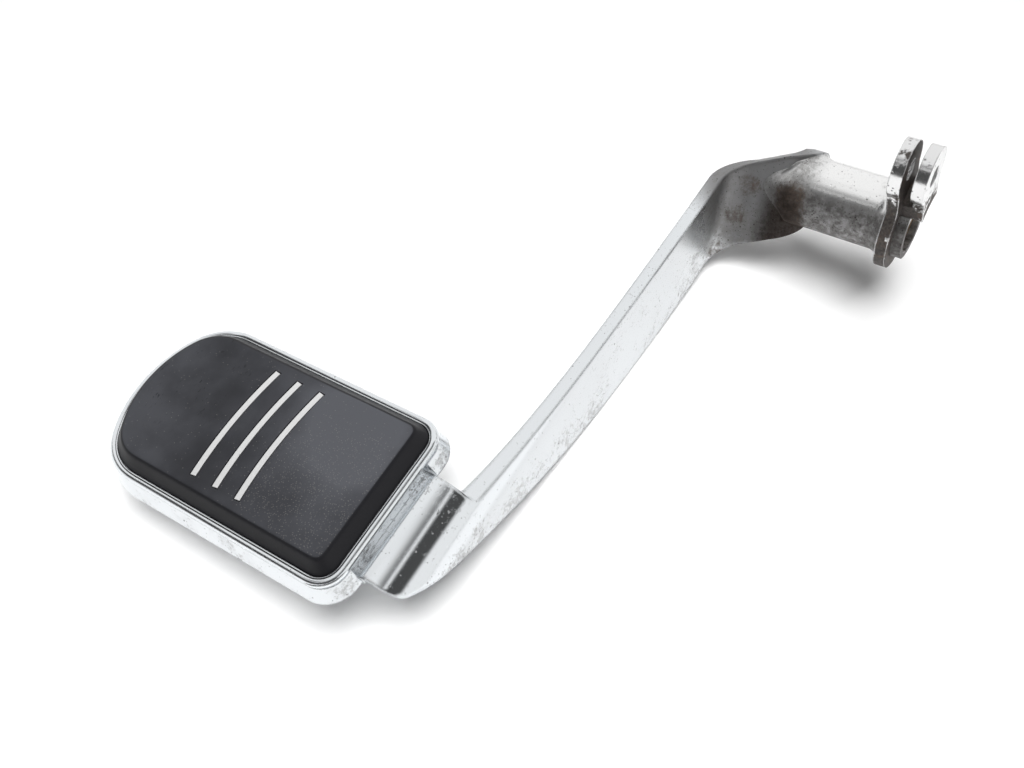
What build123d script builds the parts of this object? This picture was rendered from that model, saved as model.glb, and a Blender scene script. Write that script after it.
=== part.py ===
"""Rear brake pedal: folded and joggled flat-bar arm, pivot tube with clevis lever, and foot pad.

Millimetres. Origin on the pivot axis, half way along the hub. +X forward to the foot pad,
+Y inboard along the pivot axis, +Z up.
"""
from build123d import *
import math
import os

# Hub on the pivot axis
shaft_diameter = 19.05
running_clearance = 0.15
bush_wall = 3.07
bush_length = 19.0
tube_wall = 3.175
tube_length = 46.1
end_recess = 3.0
press_gap = 0.03
tube_fit = 0.05

# Flat bar of the arm
bar_thickness = 6.0
plate_margin = 2.3
blade_rear_width = 39.2
blade_top_sag = 2.3
blade_belly = 15.5

# Joggle that carries the bar from the blade in to the hub
joggle_offset = 37.7
joggle_turn = 90.0
joggle_lean = 27.3
joggle_front_radius = 12.7
joggle_rear_radius = 9.5
joggle_rear_width = 33.5
joggle_end_x = -6.0
joggle_steps = 6

# Fold from the blade to the footplate under the pad
fold_radius = 19.5
footplate_width = 46.3
footplate_shift = 1.2
footplate_length = 102.0
footplate_corner = 20.0
notch_depth = 9.0
notch_radius = 4.0
front_depth = 6.0
front_corner_radius = 8.0
overcut = 2.0

# Foot pad: place of its inboard rim edge, then tray and rubber
pad_reach = 234.4
pad_rise = 40.0
pad_standoff = 21.2
pad_width = 75.0
pad_length = 126.0
pad_crown_radius = 52.0
pad_shoulder_radius = 24.0
pad_heel_radius = 10.5
rim_width = 3.2
rim_height = 2.2
rim_bevel = 0.8
groove_inset = 0.9
groove_height = 1.2
skirt_inset = 0.3
skirt_depth = 10.4
skirt_flare = 22.0
floor_top = 6.0
floor_bottom = 8.5
arm_gap = 0.6
heel_wall_inset = 0.9
rubber_gap = 0.2
rubber_lip = 0.3
rubber_rise = 6.2
rubber_shoulder = 33.0
rubber_bevel = 1.0
slot_width = 2.2
slot_length = 51.0
slot_bulge = 1.9
slot_pitch = 11.0
slot_middle = 60.5
slot_count = 3
rib_gap = 0.1
rib_recess = 0.9

# Studs that hold the tray on the footplate
stud_diameter = 6.35
stud_clearance = 0.25
stud_head_diameter = 12.0
stud_head_height = 1.8
stud_tail = 2.0
stud_first = 28.0
stud_spacing = 58.0
pocket_gap = 0.3
lock_diameter = 11.6
lock_thickness = 1.6
lock_slit = 1.2
nut_across_flats = 11.1
nut_height = 5.6
nut_chamfer = 0.6
thread_gap = 0.05

# Clevis lever on the inboard end of the tube
lever_thickness = 5.2
ear_thickness = 5.0
lever_set_in = 4.4
flange_margin = 5.625
lever_reach = 38.5
lever_lean = 11.0
lever_head_radius = 12.2
lever_waist = 21.0
lever_throat_radius = 9.0
lever_root_radius = 8.0
clevis_gap = 4.6
ear_waist = 15.0
saddle_height = 6.5
saddle_gap = 1.2
pin_hole = 9.0

# Derived sizes of the hub, from the shaft outward
bush_bore = shaft_diameter + running_clearance
bush_od = bush_bore + 2 * bush_wall
tube_bore = bush_od + 2 * press_gap
tube_od = tube_bore + 2 * tube_wall
bar_end_width = tube_od + 2 * plate_margin
lever_flange_radius = tube_od / 2 + flange_margin

# Derived places along the pivot axis
plate_inner_y = -tube_length / 2
plate_outer_y = plate_inner_y - bar_thickness
tube_end_y = tube_length / 2
lever_inner_y = tube_end_y - lever_set_in
lever_outer_y = lever_inner_y - lever_thickness
ear_outer_y = lever_inner_y + clevis_gap

# Derived places of the bar
plate_middle_y = plate_outer_y + bar_thickness / 2
blade_middle_y = plate_middle_y - joggle_offset
blade_inner_y = blade_middle_y + bar_thickness / 2
fold_y = blade_inner_y - fold_radius
pad_edge_y = blade_inner_y - pad_standoff
footplate_top = pad_rise - floor_bottom
footplate_front = pad_reach + footplate_shift + footplate_width / 2
footplate_rear = pad_reach + footplate_shift - footplate_width / 2

# Derived directions of the joggle's bend lines, and square to them along the bar
lean_angle = math.radians(joggle_lean)
bend_direction = Vector(-math.sin(lean_angle), 0, math.cos(lean_angle))
bend_square = Vector(-math.cos(lean_angle), 0, -math.sin(lean_angle))

# Derived places of the clevis pin
pin_x = lever_reach * math.sin(math.radians(lever_lean))
pin_z = lever_reach * math.cos(math.radians(lever_lean))

# Derived places of the studs, outboard from the pad's inboard rim edge
stud_places = {
    "inboard": pad_edge_y - stud_first,
    "outboard": pad_edge_y - stud_first - stud_spacing,
}


def along_y(radius, start, end):
    """Cylinder on the pivot axis from one place along Y to another."""
    middle = (start + end) / 2
    return Pos(0, middle, 0) * Rot(90, 0, 0) * Cylinder(radius, end - start)


def ring_y(outer, inner, start, end):
    """Tube on the pivot axis."""
    return along_y(outer, start, end) - along_y(inner, start, end)


def upright(radius, low, high, y):
    """Vertical cylinder on the pad's middle line."""
    return Pos(pad_reach, y, (low + high) / 2) * Cylinder(radius, high - low)


def slab_y(outline, start, thickness):
    """An outline seen along the pivot axis, given thickness inboard from a place."""
    plane = Plane((0, start + thickness, 0), x_dir=(1, 0, 0), z_dir=(0, -1, 0))
    return extrude(plane * outline, thickness)


def bend_shift(radius, start, end):
    """Travel of the bar's middle line round a leaning bend, between two angles of turn."""
    along = radius * math.radians(abs(end - start)) * math.tan(lean_angle)
    across = radius * abs(math.sin(math.radians(end)) - math.sin(math.radians(start)))
    inward = radius * abs(math.cos(math.radians(end)) - math.cos(math.radians(start)))
    return bend_direction * along + bend_square * across + Vector(0, inward, 0)


def turned(vector, angle):
    """A direction of the straight bar after a turn by an angle about the leaning bend line."""
    return vector.rotate(Axis((0, 0, 0), bend_direction), -angle)


def joggle_stages():
    """Places and turns of the bar's section through the joggle, from the blade to the end plate."""
    turn = math.radians(joggle_turn)
    bends = (joggle_front_radius + joggle_rear_radius) * (1 - math.cos(turn))
    run = (joggle_offset - bends) / math.cos(lean_angle) / math.sin(turn)
    angles = [joggle_turn * i / joggle_steps for i in range(joggle_steps + 1)]
    run_shift = turned(Vector(-1, 0, 0), joggle_turn) * run
    middle = bend_shift(joggle_front_radius, 0, joggle_turn) + run_shift
    front = [(bend_shift(joggle_front_radius, 0, angle), angle) for angle in angles]
    rear = []
    for angle in reversed(angles):
        rear.append((middle + bend_shift(joggle_rear_radius, joggle_turn, angle), angle))
    return front + rear


def joggle():
    """The bar's two leaning bends and the short run between them, lofted through its sections."""
    stages = joggle_stages()
    last = stages[-1][0]
    home = Vector(joggle_end_x, plate_middle_y, 0)
    sections = []
    for i, (place, angle) in enumerate(stages):
        part_way = i / (len(stages) - 1)
        width = blade_rear_width + (joggle_rear_width - blade_rear_width) * part_way
        origin = home + place - last
        plane = Plane(origin, x_dir=bend_direction, z_dir=turned(bend_square, angle))
        sections.append(plane * Rectangle(width / math.cos(lean_angle), bar_thickness))
    front = loft(sections[:joggle_steps + 1])
    run = loft(sections[joggle_steps:joggle_steps + 2])
    rear = loft(sections[joggle_steps + 1:])
    return front + run + rear


def end_plate():
    """End of the bar, square to the pivot axis, behind the leaning bend line."""
    half = bar_end_width / 2
    shear = half * math.tan(lean_angle)
    low = (joggle_end_x + shear, -half)
    high = (joggle_end_x - shear, half)
    corners = [low, high, (-bar_end_width, half), (-bar_end_width, -half)]
    outline = make_face(Polyline(corners, close=True))
    return slab_y(outline, plate_outer_y, bar_thickness)


def end_trim():
    """What is cut away behind the pivot axis to leave the bar's end round."""
    reach = 2 * bar_end_width
    start = plate_outer_y - joggle_rear_radius
    end = plate_inner_y + overcut
    outline = Circle(reach) - Circle(bar_end_width / 2)
    behind = Rectangle(reach, 2 * reach, align=(Align.MAX, Align.CENTER))
    return slab_y(outline & behind, start, end - start)


def fold_section():
    """Fold and blade as one bent strip, in the plane across the bar."""
    low = blade_rear_z - blade_rear_width
    fold_z = footplate_top - fold_radius
    inner_radius = fold_radius - bar_thickness
    outer = Circle(fold_radius) - Circle(inner_radius)
    quarter = Rectangle(fold_radius, fold_radius, align=(Align.MIN, Align.MIN))
    drop = Rectangle(bar_thickness, fold_z - low, align=(Align.MAX, Align.MAX))
    return Pos(fold_y, fold_z) * ((outer & quarter) + Pos(fold_radius, 0) * drop)


def side_outline():
    """Blade and footplate seen from the side: belly, front corner, notch and top edge."""
    half = blade_rear_width / 2
    shear = half * math.tan(lean_angle)
    rear_low = (blade_rear_x + shear, blade_rear_z - half)
    rear_high = (blade_rear_x - shear, blade_rear_z + half)
    front_low = (footplate_front, footplate_top - front_depth)
    front_high = (footplate_front, pad_rise)
    notch_low = (footplate_rear, footplate_top - notch_depth)
    notch_high = (footplate_rear, pad_rise)
    edges = [
        SagittaArc(rear_low, front_low, -blade_belly),
        Polyline(front_low, front_high, notch_high, notch_low),
        SagittaArc(notch_low, rear_high, blade_top_sag),
        Line(rear_high, rear_low),
    ]
    outline = make_face(Curve() + edges)
    front = outline.vertices().sort_by_distance(front_low)[0]
    outline = fillet(front, front_corner_radius)
    notch = outline.vertices().sort_by_distance(notch_low)[0]
    return fillet(notch, notch_radius)


def blade():
    """Fold and blade, cut to the side outline."""
    strip_plane = Plane((0, 0, 0), x_dir=(0, 1, 0), z_dir=(1, 0, 0))
    strip = extrude(strip_plane * fold_section(), footplate_front + overcut)
    side = slab_y(side_outline(), fold_y - overcut, fold_radius + 2 * overcut)
    return strip & side


def footplate():
    """Flat end of the bar under the pad, with its far corners rounded."""
    reach = fold_y - pad_edge_y + footplate_length
    outline = Rectangle(footplate_width, reach, align=(Align.CENTER, Align.MAX))
    outline = fillet(outline.vertices().group_by(Axis.Y)[0], footplate_corner)
    place = Pos(pad_reach + footplate_shift, fold_y, footplate_top - bar_thickness)
    return extrude(place * outline, bar_thickness)


def pedal_arm():
    """One bar: footplate, fold, blade, joggle and end plate, with the hub and stud holes."""
    arm = footplate() + blade() + joggle() + end_plate() - end_trim()
    arm -= along_y(tube_bore / 2, plate_outer_y, plate_inner_y)
    for y in stud_places.values():
        arm -= upright(stud_diameter / 2 + stud_clearance, lock_high, footplate_top, y)
    return arm


def pivot_tube(arm):
    """Tube welded on the end plate, coped round the arm's bend ahead of it."""
    return ring_y(tube_od / 2, tube_bore / 2, plate_outer_y, tube_end_y) - arm


def bush(start):
    """Plain bearing bush pressed into the tube."""
    return ring_y(bush_od / 2, bush_bore / 2, start, start + bush_length)


def neck_outline(waist):
    """Head and neck of the lever, upright, before it leans."""
    head = Pos(0, lever_reach) * Circle(lever_head_radius)
    neck = Pos(0, lever_reach / 2) * Rectangle(waist, lever_reach)
    outline = head + neck
    inside = [point for point in outline.vertices() if 0 < point.Y < lever_reach]
    return fillet(inside, lever_throat_radius)


def lever_outline():
    """Lever seen along the pivot axis: round flange, neck and head."""
    outline = Circle(lever_flange_radius) + neck_outline(lever_waist)
    root_y = math.sqrt(lever_flange_radius ** 2 - (lever_waist / 2) ** 2)
    for root_x in (-lever_waist / 2, lever_waist / 2):
        root = outline.vertices().sort_by_distance((root_x, root_y))[0]
        outline = fillet(root, lever_root_radius)
    return outline


def clevis_lever():
    """Lever plate and second ear, joined by a saddle above the tube."""
    lean = Rot(0, 0, -lever_lean)
    saddle_low = tube_od / 2 + saddle_gap
    saddle_high = saddle_low + saddle_height
    throat = Pos(0, saddle_high + lever_reach) * Rectangle(2 * lever_reach, 2 * lever_reach)
    ear_outline = neck_outline(ear_waist) - Circle(saddle_low)
    ear_outline -= Pos(0, -lever_reach) * Rectangle(2 * lever_reach, 2 * lever_reach)
    plate = slab_y(lean * lever_outline(), lever_outer_y, lever_thickness)
    ear = slab_y(lean * ear_outline, ear_outer_y, ear_thickness)
    saddle = slab_y(lean * (ear_outline - throat), lever_inner_y, clevis_gap)
    lever = plate + ear + saddle
    lever -= along_y(tube_od / 2 + tube_fit, lever_outer_y, lever_inner_y)
    pin = Pos(pin_x, 0, pin_z) * along_y(pin_hole / 2, lever_outer_y, ear_outer_y + ear_thickness)
    return lever - pin


def pad_outline(inset):
    """Pad seen from above, drawn in from the rim's outer edge by an inset."""
    half = pad_width / 2
    crown_y = pad_length - pad_crown_radius + math.sqrt(pad_crown_radius ** 2 - half ** 2)
    edges = [
        Polyline((-half, -crown_y), (-half, 0), (half, 0), (half, -crown_y)),
        ThreePointArc((half, -crown_y), (0, -pad_length), (-half, -crown_y)),
    ]
    face = make_face(Curve() + edges)
    heel = face.vertices().group_by(Axis.Y)[-1]
    face = fillet(heel, pad_heel_radius)
    crown = face.vertices().group_by(Axis.Y)[0]
    face = fillet(crown, pad_shoulder_radius)
    if inset:
        face = offset(face, -inset)
    return Pos(pad_reach, pad_edge_y) * face


def pad_slab(inset, high, low, taper=0.0):
    """Slab of the pad's outline between two heights, flaring downward by an angle."""
    plane = Pos(0, 0, high)
    return extrude(plane * pad_outline(inset), low - high, taper=-taper)


def slot_outline(width, y):
    """One curved bar across the pad, bulging outboard, with square ends."""
    half_length = slot_length / 2
    edges = []
    for side in (-width / 2, width / 2):
        ends = ((-half_length, side), (half_length, side))
        edges.append(ThreePointArc(ends[0], (0, side - slot_bulge), ends[1]))
    for end in (-half_length, half_length):
        edges.append(Line((end, -width / 2), (end, width / 2)))
    return Pos(pad_reach, y) * make_face(Curve() + edges)


def slot_bars(width, low, high):
    """The row of curved bars across the pad, between two heights."""
    bars = Part()
    for i in range(slot_count):
        y = pad_edge_y - slot_middle + (i - (slot_count - 1) / 2) * slot_pitch
        bars += extrude(Pos(0, 0, low) * slot_outline(width, y), high - low)
    return bars


def pad_tray():
    """Cast tray: beaded rim, groove, flared skirt, ribs in the rubber, and a heel opening for the arm."""
    rim_low = pad_rise - rim_height
    groove_low = rim_low - groove_height
    skirt_low = pad_rise - skirt_depth
    inner_floor = pad_rise - floor_top
    under_floor = pad_rise - floor_bottom
    rim = pad_slab(0, pad_rise, rim_low)
    rim = chamfer(rim.edges().group_by(Axis.Z)[-1], rim_bevel)
    tray = rim + pad_slab(groove_inset, rim_low, groove_low)
    tray += pad_slab(skirt_inset, groove_low, skirt_low, skirt_flare)
    tray -= pad_slab(rim_width, pad_rise, inner_floor)
    tray -= pad_slab(rim_width, under_floor, skirt_low, skirt_flare)
    tray += slot_bars(slot_width - 2 * rib_gap, inner_floor, pad_rise + rubber_rise - rib_recess)
    for y in stud_places.values():
        tray -= upright(stud_diameter / 2 + thread_gap, under_floor, inner_floor, y)
    return tray - heel_opening()


def heel_opening():
    """Space in the tray's inboard side that the arm comes out through."""
    width = footplate_width + 2 * arm_gap
    middle = pad_reach + footplate_shift
    depth = pad_rise - rim_height - groove_height
    flare = Box(width, 2 * skirt_depth, depth, align=(Align.CENTER, Align.MIN, Align.MAX))
    under = Box(width, 2 * skirt_depth, depth, align=(Align.CENTER, Align.CENTER, Align.MAX))
    flare = Pos(middle, pad_edge_y - heel_wall_inset, depth) * flare
    return flare + Pos(middle, pad_edge_y, footplate_top) * under


def pad_rubber():
    """Moulded rubber: base in the rim, sloping shoulder, flat top, slots and stud pockets."""
    inset = rim_width + rubber_gap
    base_low = pad_rise - floor_top
    base_high = pad_rise + rubber_lip
    top = pad_rise + rubber_rise
    shoulder = extrude(Pos(0, 0, base_high) * pad_outline(inset), top - base_high, taper=rubber_shoulder)
    shoulder = chamfer(shoulder.edges().group_by(Axis.Z)[-1], rubber_bevel)
    rubber = pad_slab(inset, base_high, base_low) + shoulder
    rubber -= slot_bars(slot_width, base_low, top)
    for y in stud_places.values():
        pocket = stud_head_diameter / 2 + pocket_gap
        rubber -= upright(pocket, base_low, base_low + stud_head_height + pocket_gap, y)
    return rubber


def stud(y):
    """Stud with a flat head on the tray floor and a tail below the nut."""
    floor = pad_rise - floor_top
    tail = nut_low - stud_tail
    head = upright(stud_head_diameter / 2, floor, floor + stud_head_height, y)
    return head + upright(stud_diameter / 2, tail, floor, y)


def lock_washer(y):
    """Split spring washer under the footplate, pressed flat."""
    hole = stud_diameter / 2 + stud_clearance
    ring = upright(lock_diameter / 2, lock_low, lock_high, y) - upright(hole, lock_low, lock_high, y)
    slit = Box(lock_diameter, lock_slit, lock_thickness, align=(Align.MIN, Align.CENTER, Align.MIN))
    return ring - Pos(pad_reach, y, lock_low) * slit


def nut(y):
    """Hexagon nut, chamfered below."""
    hexagon = RegularPolygon(nut_across_flats / 2, 6, major_radius=False)
    body = extrude(Pos(pad_reach, y, nut_low) * hexagon, nut_height)
    body = chamfer(body.edges().group_by(Axis.Z)[0], nut_chamfer)
    return body - upright(stud_diameter / 2 + thread_gap, nut_low, lock_low, y)


# Heights of the stack under the footplate
lock_high = footplate_top - bar_thickness
lock_low = lock_high - lock_thickness
nut_low = lock_low - nut_height

# Place where the blade meets the joggle
joggle_travel = joggle_stages()[-1][0]
blade_rear_x = joggle_end_x - joggle_travel.X
blade_rear_z = -joggle_travel.Z

arm = pedal_arm()
pieces = {
    "pedal_arm": arm,
    "pivot_tube": pivot_tube(arm),
    "clevis_lever": clevis_lever(),
    "bush_outboard": bush(plate_inner_y + end_recess),
    "bush_inboard": bush(tube_end_y - end_recess - bush_length),
    "pad_tray": pad_tray(),
    "pad_rubber": pad_rubber(),
}
for side, stud_y in stud_places.items():
    pieces["pad_stud_" + side] = stud(stud_y)
    pieces["stud_lock_washer_" + side] = lock_washer(stud_y)
    pieces["stud_nut_" + side] = nut(stud_y)

os.makedirs("parts", exist_ok=True)
for node, solid in pieces.items():
    export_step(solid, "parts/" + node + ".step")
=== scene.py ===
"""Looks of the rear brake pedal: chrome, rust, rubber, welds and stage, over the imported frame."""
import math

import bmesh
import bpy
from bpy.props import FloatProperty, FloatVectorProperty, IntProperty, PointerProperty
from mathutils import Matrix, Vector, noise
from mathutils.bvhtree import BVHTree
from mathutils.geometry import convex_hull_2d, delaunay_2d_cdt


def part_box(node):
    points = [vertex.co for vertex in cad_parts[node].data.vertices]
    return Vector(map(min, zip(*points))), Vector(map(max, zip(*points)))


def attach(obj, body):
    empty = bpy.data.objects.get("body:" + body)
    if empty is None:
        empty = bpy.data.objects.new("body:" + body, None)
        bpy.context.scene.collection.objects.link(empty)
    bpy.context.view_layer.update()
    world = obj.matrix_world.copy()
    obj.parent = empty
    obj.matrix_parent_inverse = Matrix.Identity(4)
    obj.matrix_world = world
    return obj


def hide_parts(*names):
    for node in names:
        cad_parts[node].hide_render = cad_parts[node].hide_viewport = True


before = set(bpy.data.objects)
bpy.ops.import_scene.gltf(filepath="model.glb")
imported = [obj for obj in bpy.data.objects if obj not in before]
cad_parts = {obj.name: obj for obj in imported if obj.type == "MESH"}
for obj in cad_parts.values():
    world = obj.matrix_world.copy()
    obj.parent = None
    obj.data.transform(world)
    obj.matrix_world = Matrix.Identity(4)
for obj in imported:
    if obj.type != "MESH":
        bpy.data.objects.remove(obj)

bl_info = {
    "name": "Rear brake pedal looks",
    "version": (1, 1, 0),
    "blender": (4, 5, 0),
    "location": "3D View > Sidebar > Pedal",
    "description": "Finishes of a chrome brake pedal with a rubber foot pad",
    "category": "Object",
}

IMAGE_SIZE = (1024, 768)
SENSOR_WIDTH = 36.0
CLIP_START = 0.01
MM = 0.001

# Points of a mesh nearer than this are one, and heights nearer than this are level, in metres
MERGE = 1e-6
LEVEL = 1e-5

# Clouds in all chrome plate, in cells to a metre
HAZE_SCALE = 38.0
GRIME_SCALE = 330.0
GRAIN_SCALE = 1000.0
BLOTCH_SCALE = 520.0
# The same in the wear of the arm, the tube and the tray
ARM_PATCHES = 30.0
ARM_CLUSTERS = 75.0
TUBE_CLOUDS = 240.0
TRAY_PATCHES = 70.0
# The same in the lever, the bushes, the fasteners and the strips
LEVER_GRIME = 170.0
LEVER_GRAIN = 900.0
LEVER_FLAKES = 210.0
GREASE_FILM = 90.0
TURNED_GRAIN = 700.0
ZINC_CLOUDS = 200.0
ZINC_STAINS = 60.0
STRIP_GRAIN = 500.0
STRIP_SPECKS = 160.0
# The same in the rubber
RUBBER_CLOUDS = 28.0
RUBBER_GRAIN = 1900.0
RUBBER_GRIT = 1500.0
SCUFF_PATCHES = 120.0
# Reach of a pit or speck, as a part of its cell
FINE_PIT = 0.32
COARSE_PIT = 0.26
LEVER_PIT = 0.34
STRIP_SPECK = 0.12
GRIT = 0.38
# Samples of a rounded edge, and rounding of edges in the finishes, in metres
BEVEL_SAMPLES = 6
TUBE_EDGE = 0.0006
TRAY_EDGE = 0.0008
LEVER_EDGE = 0.0008
LEVER_RIM = 0.0012
FASTENER_EDGE = 0.0004
STRIP_EDGE = 0.0002

# Worn patches of the arm: middle, reach of full wear and reach of any wear, in metres
JOGGLE_WEAR = ((0.006, -0.042, -0.004), 0.024, 0.042)
FOLD_WEAR = ((0.232, -0.062, 0.010), 0.012, 0.05)
BLADE_REAR_WEAR = ((0.03, -0.058, -0.022), 0.01, 0.045)
UPPER_RUST = ((0.0088, -0.0498, 0.001), 0.003, 0.011)
MIDDLE_RUST = ((0.0154, -0.0539, -0.0133), 0.003, 0.012)
LOWER_RUST = ((0.0265, -0.059, -0.0285), 0.002, 0.013)
# The blade's belly in the side view: its lowest point and how fast it curves up, in metres
BELLY_X = 0.06
BELLY_Z = -0.0325
BELLY_CURVE = 1.57
# Stretches over which wear of the arm, and the painted shade low by the tube's end, grow from none to full,
# in metres
PITTED_HEIGHT = (0.024, 0.004)
PITTED_FACE = (-0.0622, -0.0609)
HAZED_FACE = (-0.0614, -0.0608)
VALLEY_SHADE_ALONG = (-0.050, -0.036)
VALLEY_SHADE_HEIGHT = (0.012, 0.0)
# The same along and across the tube, for its wear and for the painted shade on its underside and in the
# valley at the arm
TUBE_BELOW = (0.006, -0.004)
TUBE_FAR = (-0.030, -0.046)
TUBE_ARM_END = (-0.016, -0.026)
TUBE_LEVER_END = (0.004, 0.016)
VALLEY_ALONG = (-0.010, -0.033)
VALLEY_ACROSS = (0.016, -0.012)
# The same on the tray's skirt, and on the lever's channel, head and second ear
SKIRT_HEIGHT = (0.0378, 0.035)
CHANNEL_START = (0.01845, 0.01862)
CHANNEL_END = (0.02345, 0.0233)
LEVER_HEAD = (0.018, 0.034)
SECOND_EAR = (0.0233, 0.0236)
# Dust and scuffs on the rubber's top, given as the arm's patches are, and how the scuffs lie
HEEL_DUST = ((0.246, -0.104, 0.046), 0.014, 0.042)
MIDDLE_DUST = ((0.216, -0.112, 0.046), 0.006, 0.034)
TOE_SCUFFS = ((0.222, -0.185, 0.046), 0.012, 0.035)
SCUFF_SCALE = (420.0, 1500.0, 900.0)
SCUFF_TURN = (0.0, 0.0, 0.9)

# Inset from the base's edge and drop from the top, in millimetres, up the rubber's shoulder
SHOULDER = ((0.0, None), (0.0, 6.3), (0.12, 5.9), (0.5, 5.3), (1.1, 4.4), (2.0, 3.0), (2.75, 1.85),
            (3.2, 1.15), (3.55, 0.7), (4.0, 0.36), (4.6, 0.13), (5.3, 0.02), (5.8, 0.0))
# Spacing of points round the rubber and the bead and on the rubber's top, in metres
RUBBER_STEP = 0.0011
BEAD_STEP = 0.0012
TOP_GRID = 0.004
# Room between the top's grid and its edges, as a part of the spacing
GRID_ROOM = 0.4
# Passes of smoothing round the pad, and fall of a lip's middle as a part of its rounding
PAD_SMOOTHING = 3
LIP_FALL = 0.35
# Height of a triangle that is left out of the rubber's top, and closeness of its points
SLIVER = 0.000002
TOP_ROOM = 1e-7
# Angles past which an edge stays sharp, in degrees
CREASE = 40.0
RUBBER_CREASE = 20.0
WELD_CREASE = 60.0
# Points round the bead, along a strip and round a strip's edge
BEAD_POINTS = 20
STRIP_POINTS = 28
STRIP_EDGE_POINTS = 3

# Points along a weld's profile less one, and passes of smoothing round it
WELD_STEPS = 10
WELD_SMOOTHING = 5
# A weld's depth into metal, crown, ripple, root below the tube's skin and least wall, in metres
WELD_BITE = 0.0002
WELD_CROWN = 0.0004
WELD_RIPPLE = 0.00012
WELD_ROOT = 0.0015
WELD_WALL = 0.001
# Radius of a weld's circle through the ripple's noise, and how hollow a weld in a corner is
RIPPLE_SCALE = 7.0
WELD_HOLLOW = 0.12
# The arm's weld over the tube's end: least run and overlap of the edge, in metres
LEAST_RUN = 0.001
EDGE_PAST = 0.0003
# Part of the tube's radius over which that run grows, and radii from which the arm is felt for
RUN_SPREAD = 0.55
CAST_FROM = 3.0
# Step by which a weld's climb up the arm is cut until it meets the arm, in metres
RISE_STEP = 0.0002

# Middle of the stage, and colours of its paper, its glow and its tent
STAGE_MIDDLE = (0.12, -0.1, 0.0)
BLACK = (0.0, 0.0, 0.0)
WHITE = (1.0, 1.0, 1.0)
PAPER = (0.93, 0.93, 0.93)
PAPER_GLOW = (0.08, 0.08, 0.08)
# The tent's dark opening by height of a direction, then by how far it lies ahead and to the side
OPENING_STOPS = ((0.0, 0.0), (0.02, 0.0), (0.06, 1.0), (0.805, 1.0), (0.825, 0.0), (0.864, 0.0),
                 (0.88, 0.9), (0.925, 0.7), (0.975, 0.0))
OPENING_AHEAD = (-0.3, -0.18)
OPENING_SKEW = 0.4
OPENING_DARK = 0.92
SIDE_WALL = (0.76, 0.84)
SIDE_WALL_TOP = (0.46, 0.36)


class Wire:
    """One output in a node tree, with the sums that a finish is written in."""

    def __init__(self, tree, socket=None):
        self.tree = tree
        self.socket = socket

    def make(self, kind, settings=None, feeds=None, out=0):
        """Add a node of a type, set it up, feed its sockets, and return one of its outputs."""
        node = self.tree.nodes.new(kind)
        for name, value in (settings or {}).items():
            if name == "stops":
                self.fill_ramp(node.color_ramp, value)
            else:
                setattr(node, name, value)
        for name, value in (feeds or {}).items():
            if isinstance(value, Wire):
                self.tree.links.new(value.socket, node.inputs[name])
            else:
                node.inputs[name].default_value = value
        return Wire(self.tree, node.outputs[out])

    @staticmethod
    def fill_ramp(ramp, stops):
        """Give a colour ramp its stops."""
        while len(ramp.elements) < len(stops):
            ramp.elements.new(1.0)
        for element, (place, value) in zip(ramp.elements, stops):
            element.position = place
            element.color = (value, value, value, 1.0)

    def sum_node(self, operation, first, second):
        """Add a Math node for two values."""
        return self.make("ShaderNodeMath", {"operation": operation}, {0: first, 1: second})

    def __add__(self, other):
        return self.sum_node("ADD", self, other)

    def __radd__(self, other):
        return self.sum_node("ADD", other, self)

    def __sub__(self, other):
        return self.sum_node("SUBTRACT", self, other)

    def __rsub__(self, other):
        return self.sum_node("SUBTRACT", other, self)

    def __mul__(self, other):
        return self.sum_node("MULTIPLY", self, other)

    def __abs__(self):
        return self.sum_node("MAXIMUM", self, 0.0 - self)

    def highest(self, other):
        """The larger of two values."""
        return self.sum_node("MAXIMUM", self, other)

    def step(self, low, high):
        """Smooth step from nought at one value to one at another."""
        settings = {"interpolation_type": "SMOOTHSTEP"}
        feeds = {"Value": self, "From Min": low, "From Max": high, "To Min": 0.0, "To Max": 1.0}
        return self.make("ShaderNodeMapRange", settings, feeds)

    def blend(self, under, over):
        """Colour between two colours, by this value."""
        feeds = {0: self, 6: colour(under), 7: colour(over)}
        return self.make("ShaderNodeMix", {"data_type": "RGBA"}, feeds, 2)


def colour(value):
    """A colour socket's value from red, green and blue, or a wire as it is."""
    return value if isinstance(value, Wire) else (*value, 1.0)


def new_finish(name):
    """An empty material: its first wire, for making nodes, and its surface node."""
    material = bpy.data.materials.new(name)
    material.use_nodes = True
    tree = material.node_tree
    tree.nodes.clear()
    start = Wire(tree)
    surface = tree.nodes.new("ShaderNodeBsdfPrincipled")
    output = tree.nodes.new("ShaderNodeOutputMaterial")
    tree.links.new(surface.outputs["BSDF"], output.inputs["Surface"])
    return material, start, surface


def feed(surface, **sockets):
    """Link or set the surface node's sockets, named with low lines for spaces."""
    for name, value in sockets.items():
        socket = surface.inputs[name.replace("_", " ")]
        if isinstance(value, Wire):
            value.tree.links.new(value.socket, socket)
        else:
            socket.default_value = value


def object_place(start):
    """Place on the object, in metres."""
    return start.make("ShaderNodeTexCoord", out="Object")


def axis_of(place, axis):
    """One coordinate of a place or direction."""
    return place.make("ShaderNodeSeparateXYZ", feeds={"Vector": place}, out=axis)


def along(place, direction):
    """How far a place or direction lies along a direction."""
    settings = {"operation": "DOT_PRODUCT"}
    return place.make("ShaderNodeVectorMath", settings, {0: place, 1: direction}, "Value")


def cloud(place, scale, detail=3.0, roughness=0.55):
    """Soft cloud pattern, about a half on average."""
    feeds = {"Vector": place, "Scale": scale, "Detail": detail, "Roughness": roughness}
    return place.make("ShaderNodeTexNoise", feeds=feeds, out=0)


def near(place, centre, inner, outer):
    """One within a distance of a point, falling to nought at another."""
    away = place.make("ShaderNodeVectorMath", {"operation": "DISTANCE"}, {0: place, 1: centre}, "Value")
    return away.step(outer, inner)


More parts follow.
